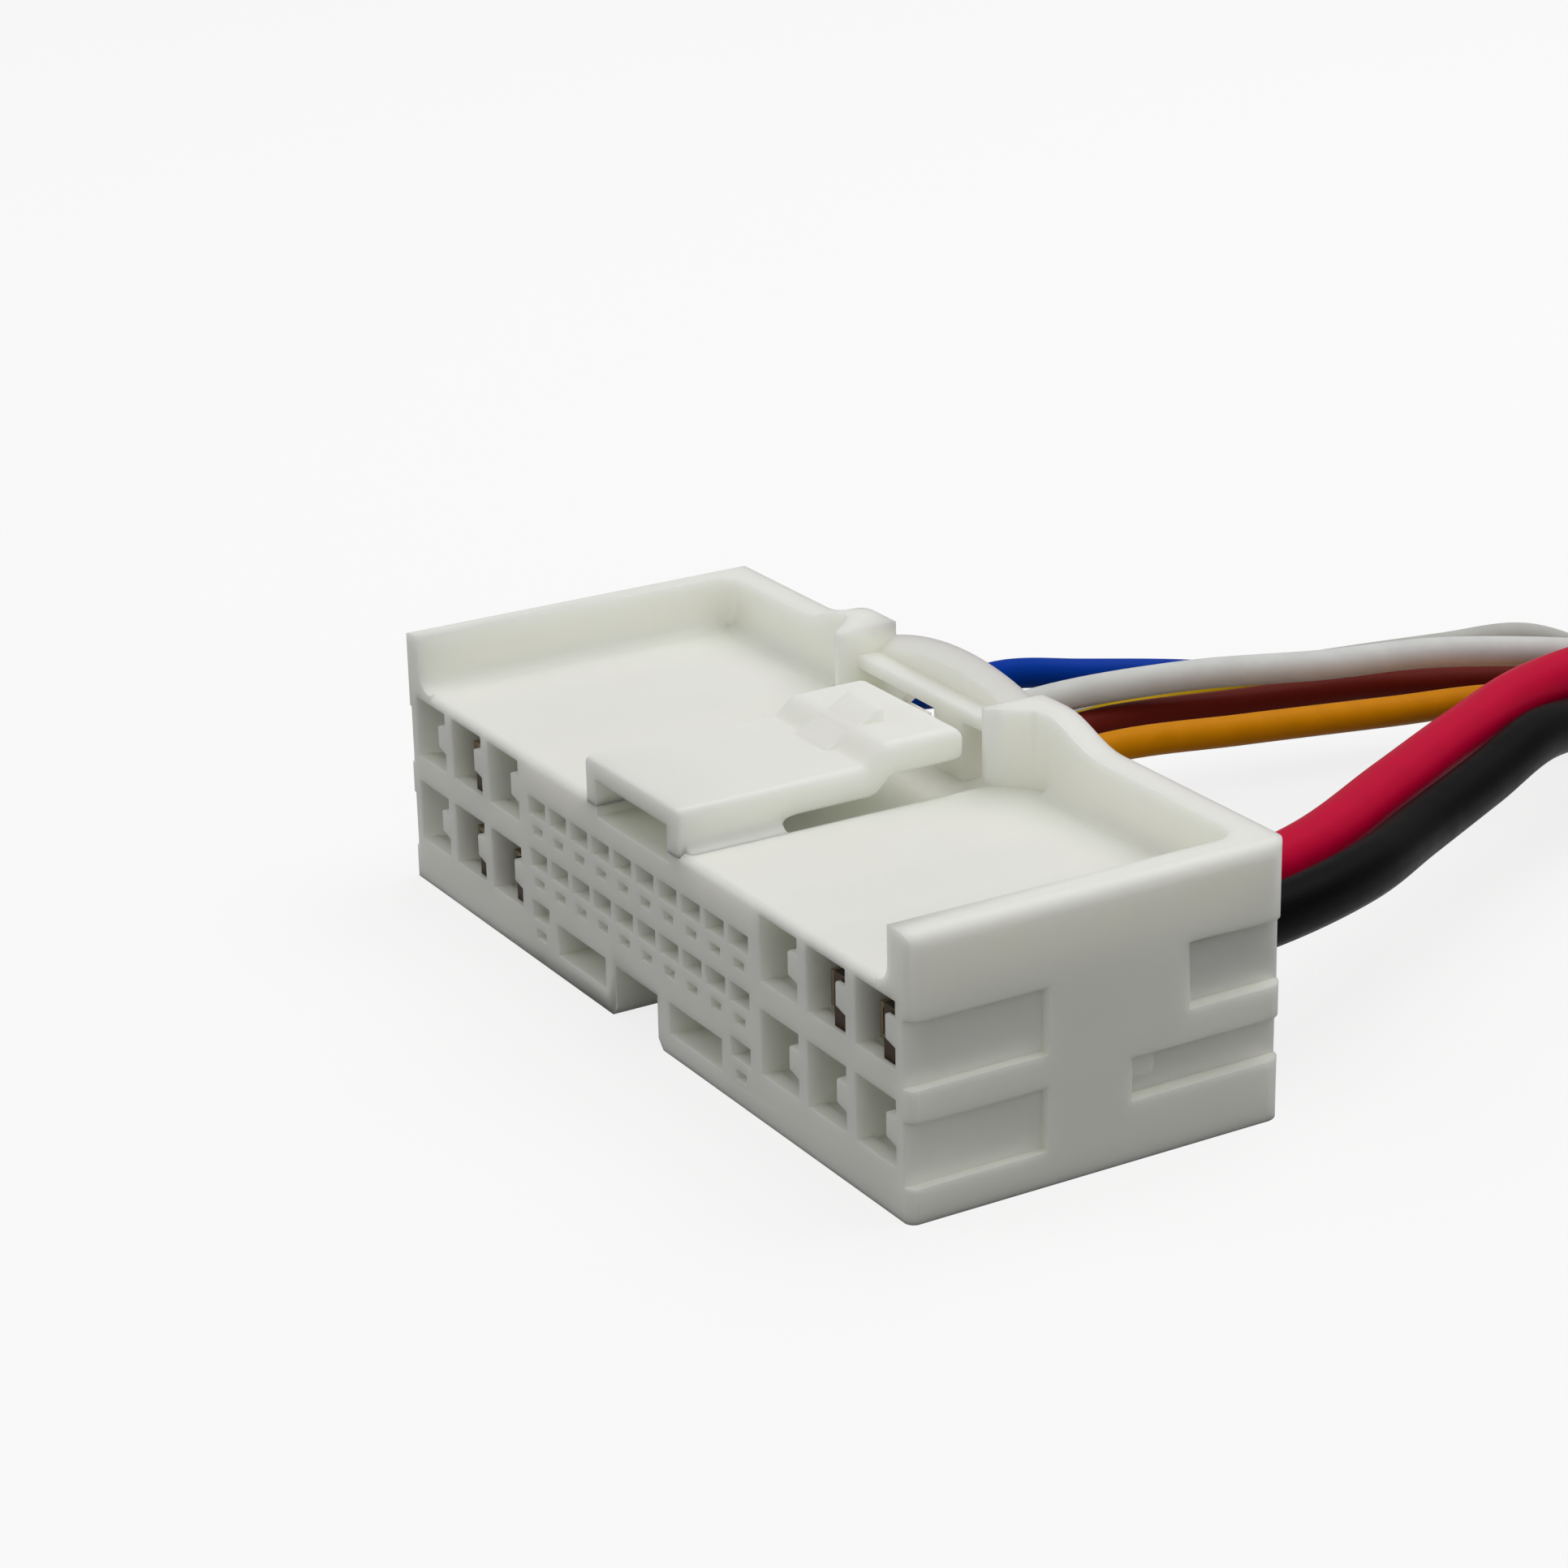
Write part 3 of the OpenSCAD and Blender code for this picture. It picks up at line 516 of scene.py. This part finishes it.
def eased_housing():
    """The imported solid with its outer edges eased, as the tool leaves them, and without the nose, which is part of the
    latch's skin."""
    low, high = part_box("housing")
    deck, nose_rear, near = DECK * MM, -4.5 * MM, 0.02 * MM
    seam = 0.004
    bm = bmesh.new()
    bm.from_mesh(nodes["housing"].data)
    weld(bm, seam)
    whole = mesh_of(bm, "whole_housing")
    nose_half, y0, y1, z0, z1 = 5.09, low.y / MM - 1, -4.45, DECK - 0.01, 14
    cuts = [("DIFFERENCE", prism([(y0, z0), (y0, z1), (y1, z1), (y1, z0)], -nose_half, nose_half))]
    # The feet of the guard's posts follow the swell of the rear rim, a half wave that starts at the posts
    guard_x, post, wave_step, rim_top, swell_half, over = -1.8, 8.75, 0.575, 13.652, 0.55, 16
    for side in (-1, 1):
        swell = [(guard_x + side * (post + wave_step * k), rim_top + swell_half * (1 + math.cos(math.pi * k / 8)))
                 for k in range(4)]
        profile = [(swell[0][0], over)] + swell + [(swell[-1][0], over)]
        cuts.append(("DIFFERENCE", prism(profile, 6.4, 10.3, along_y=True)))
    bm = bmesh.new()
    bm.from_mesh(shaped(whole, cuts))
    weld(bm, seam)
    bmesh.ops.dissolve_limit(bm, angle_limit=math.radians(0.6), use_dissolve_boundaries=False, verts=bm.verts,
                             edges=bm.edges)

    def sharp_edges(rule):
        found = []
        for edge in bm.edges:
            if len(edge.link_faces) == 2 and edge.is_convex and edge.calc_face_angle(0.0) > math.radians(38):
                if edge.calc_length() > 0.2 * MM and all(rule(v.co) for v in edge.verts):
                    found.append(edge)
        return found

    def on_guard(p):
        return p.z > deck + near and p.y > high.y - 3.6 * MM and -13.5 * MM < p.x < 10 * MM

    def on_nose(p):
        return p.y < nose_rear + 2 * near and abs(p.x) < 5.2 * MM

    def on_rims(p):
        return p.z > deck + near and not on_guard(p) and not on_nose(p)

    def below(p):
        on_front, on_side = p.y < low.y + near, min(p.x - low.x, high.x - p.x) < near
        on_end = p.z < low.z + near or p.y > high.y - near
        return on_end or (p.z < deck + near and (on_front or on_side))

    for rule, width, steps in ((on_rims, 0.25, 3), (on_guard, 0.15, 3), (below, 0.1, 2)):
        for run in edge_runs(sharp_edges(rule)):
            bevel(bm, run, width, steps)
    # Where short edges left no room, the bevel is next to nothing: it is closed to a plain edge, which shades as one
    weld(bm, 0.008)
    bm.normal_update()
    for edge in bm.edges:
        edge.smooth = edge.calc_face_angle(0) < math.radians(50)
    mesh = mesh_of(bm, "moulded_housing")
    smooth(mesh)
    piece = keep_mesh("moulded_housing", mesh, NYLON)
    even_normals(piece)
    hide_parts("housing")


# Latch
def ring(y, *sizes):
    """A rounded rectangle across the latch, in metres."""
    return [(x * MM, y * MM, z * MM) for x, z in rounded(*sizes)]


def footed(points, half, deck, flare, foot):
    """A ring whose lower corners run out in a round foot on the deck, sunk to a depth."""
    angles = [math.radians(a) for a in range(0, 91, 18)]
    edge = [(half + flare * (1 - math.cos(a)), deck + flare * (1 - math.sin(a))) for a in angles]
    edge.append((half + flare, foot))
    upper_half, y = points[:2 * (CORNER_STEPS + 1)], points[0][1]
    return (upper_half + [(-x * MM, y, z * MM) for x, z in edge]
            + [(x * MM, y, z * MM) for x, z in reversed(edge)])


def latch_tongue():
    """Nose and tongue as one skin, so that light runs through the root as in one moulding, with the locking wedge on
    it.
    It covers the housing's nose."""
    low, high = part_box("latch_lever")
    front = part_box("housing")[0].y / MM
    root, end, under = low.y / MM, high.y / MM, low.z / MM
    # The skin stands a little proud of the solid. The tongue is 1.6 thick and steps up by its rise along the ramp
    skin, sunk, thickness, rise, end_r = 0.006, 10.55, 1.6, 0.9, 0.7
    half, ramp = high.x / MM + skin, (root + 4.6, root + 6.1)
    nose, top = under + thickness, under + (thickness + skin)
    edge_r, end_edge_r = 0.35, 0.6

    def lift(y):
        u = min(max((y - ramp[0]) / (ramp[1] - ramp[0]), 0.0), 1.0)
        return rise * (1 - math.cos(math.pi * u)) / 2

    # Nose, from the mating face back: its front edge rounded by an inset, its foot flared and sunk in the deck
    rings = []
    behind = root - 0.04
    for y, inset, flare in ((-skin, 0.12, 0.02), (0.03, 0.05, 0.02), (0.08, 0.015, 0.02), (0.15, 0.0, 0.02),
                            (0.34, 0.0, 0.03), (0.4, 0.0, 0.45), (0.5, 0.0, 0.6), (2.0, 0.0, 0.6), (4.0, 0.0, 0.6),
                            (behind - front, 0.0, 0.6)):
        section = ring(front + y, half - inset, sunk, top - inset, edge_r, 0.05)
        rings.append(footed(section, half - inset, DECK + skin, flare, sunk))
    # Step up under the tongue, with a round inner corner
    for y, drop in ((0.005, 0.5), (0.05, 0.32), (0.15, 0.17), (0.32, 0.05), (0.55, 0.0)):
        rings.append(ring(behind + y, half, under - drop, top, edge_r, 0.1))
    # Tongue, then its round end
    stations = [root + 0.9, root + 2.0, root + 3.2] + [ramp[0] + 0.15 * k for k in range(0, 13)]
    stations += [end - 3.2, end - 2.0, end - end_r]
    for y in stations:
        upper = min(edge_r + 0.06 * max(y - root, 0.0), end_edge_r)
        rings.append(ring(y, half, under + lift(y - 0.3), top + lift(y), upper, 0.2))
    for k in range(1, 7):
        angle = math.radians(15 * k)
        drop = end_r * (1 - math.cos(angle))
        rings.append(ring(end - end_r + end_r * math.sin(angle), half - 0.5 * drop, under + rise + 0.3 * drop,
                          top + rise - drop, max(end_edge_r - drop, 0.12), max(0.2 - 0.1 * drop, 0.1)))
    bm = bmesh.new()
    loops = [[bm.verts.new(p) for p in points] for points in rings]
    for a, b in zip(loops, loops[1:]):
        for i in range(len(a)):
            j = (i + 1) % len(a)
            bm.faces.new((a[i], a[j], b[j], b[i]))
    bm.faces.new(loops[0])
    bm.faces.new(loops[-1])
    weld(bm, 0.001)
    bmesh.ops.recalc_face_normals(bm, faces=bm.faces)
    body = mesh_of(bm, "latch_body")

    # Wedge: a long slope up from the mating face's side and a steep locking face behind the ridge
    wedge = prism([(root + 4.2, nose - 0.4), (root + 4.2, nose), (root + 7.45, nose + 1.55), (root + 7.65, nose + 1.5),
                   (root + 7.65, nose + 0.5), (root + 6.0, nose - 0.4)], -1.5, 1.5, soft=0.1)
    # Front pocket, 7 mm wide and 3 mm deep, with a skin of its own
    y0, y1, z0, z1 = front - 1, front + 2.99, nose - 2.89, nose - 1.01
    pocket = prism([(y0, z0), (y0, z1), (y1, z1), (y1, z0)], -3.49, 3.49)
    mesh = shaped(body, (("DIFFERENCE", pocket), ("UNION", wedge)))
    mesh.name = "latch_tongue"
    smooth(mesh)
    mesh.set_sharp_from_angle(angle=math.radians(40))
    dress(mesh, NYLON)
    piece = place("latch_tongue", mesh)
    even_normals(piece)
    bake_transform(piece)
    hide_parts("latch_lever")


# Contacts
def contact_lip(name, top):
    """Lip of a power contact, bent round the rib of its mouth, in near-black brown that is painted shade of the
    contact's shaded inside. A high one hooks over the rib as well.
    """
    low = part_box("terminal_" + name)[0]
    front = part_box("housing")[0].y / MM
    x, foot = low.x / MM - 0.3, low.z / MM - 0.2
    inner, neck, outer, hook = 2.1, 2.36, 3.15, 2.4
    profile = [(inner, 0.04), (outer, 0.04), (outer, 0.92), (neck, 1.12)]
    if top < hook:
        profile += [(neck, top), (inner, top)]
    else:
        profile += [(neck, hook), (outer, hook), (outer, top), (inner, top)]
    mesh = prism([(x + px, foot + pz) for px, pz in profile], front + 0.3, low.y / MM + 0.3, along_y=True)
    mesh.name = "contact_lip_" + name
    keep_mesh("contact_lip_" + name, mesh, LIP_PAINTED_SHADE)


# Floor, light and background
def any_of(tree, first, *others):
    """The highest of several values."""
    for other in others:
        first = add(tree, "ShaderNodeMath", settings={"operation": "MAXIMUM"}, links={0: first, 1: other}).outputs[0]
    return first


def studio():
    """A pale floor that bounces little light on the object, shows near white and keeps its shadow, a pale room and soft
    lamps."""
    white = {"Color": (1.0, 1.0, 1.0, 1.0), "Strength": 1.0}
    material = bpy.data.materials.new("pale_floor")
    tree = empty_tree(material)
    rays = add(tree, "ShaderNodeLightPath").outputs
    bounce = add(tree, "ShaderNodeBsdfDiffuse", values={"Color": linear("#6c6d66")})
    lit = add(tree, "ShaderNodeBsdfDiffuse", values={"Color": linear("#f4f4f4")})
    seen = any_of(tree, rays["Is Camera Ray"], rays["Is Glossy Ray"], rays["Is Transmission Ray"])
    glow = add(tree, "ShaderNodeEmission", values=white)
    shown = add(tree, "ShaderNodeMixShader", values={0: 0.8}, links={1: lit.outputs[0], 2: glow.outputs[0]})
    both = add(tree, "ShaderNodeMixShader", links={0: seen, 1: bounce.outputs[0], 2: shown.outputs[0]})
    add(tree, "ShaderNodeOutputMaterial", links={"Surface": both.outputs[0]})
    mesh = bpy.data.meshes.new("floor")
    mesh.from_pydata([(-3, -3, 0), (3, -3, 0), (3, 3, 0), (-3, 3, 0)], [], [(0, 1, 2, 3)])
    mesh.materials.append(material)
    floor = place("floor", mesh)

    world = bpy.data.worlds.new("studio")
    tree = empty_tree(world)
    rays = add(tree, "ShaderNodeLightPath").outputs
    room = add(tree, "ShaderNodeBackground", values={"Color": linear("#f6f6f4"), "Strength": 0.45})
    seen = any_of(tree, rays["Is Camera Ray"], rays["Is Transmission Ray"])
    backdrop = add(tree, "ShaderNodeBackground", values=white)
    both = add(tree, "ShaderNodeMixShader", links={0: seen, 1: room.outputs[0], 2: backdrop.outputs[0]})
    add(tree, "ShaderNodeOutputWorld", links={"Surface": both.outputs[0]})
    bpy.context.scene.world = world

    for name, at, size, power in LAMPS:
        data = bpy.data.lights.new(name, "AREA")
        data.shape = "DISK"
        data.size = size
        data.energy = power
        lamp = place(name, data)
        lamp.location = at
        lamp.rotation_euler = (Vector(LAMP_AIM) - Vector(at)).to_track_quat("-Z", "Y").to_euler()


NYLON = natural_nylon()
BRASS = brass_strip("brass_strip", "#857763", "#ab9d86")
# Near-black brown brass for the contact lips: painted shade, standing for the shaded inside of the contacts
LIP_PAINTED_SHADE = brass_strip("lip_brass_painted_shade", "#1d140b", "#3d2d1a")
COPPER = bare_copper()
TAPE = black_tape()
STRANDS = strand_tree()

make_camera()
for lead_name in LEADS:
    make_lead(lead_name)
hank_tie()
eased_housing()
latch_tongue()
for node_name, node in nodes.items():
    if node_name.startswith("terminal_"):
        dress(node.data, BRASS)
for lead_name, lip_top in LIP_TOPS.items():
    contact_lip(lead_name, lip_top)
studio()
bpy.context.scene.view_settings.view_transform = "Standard"
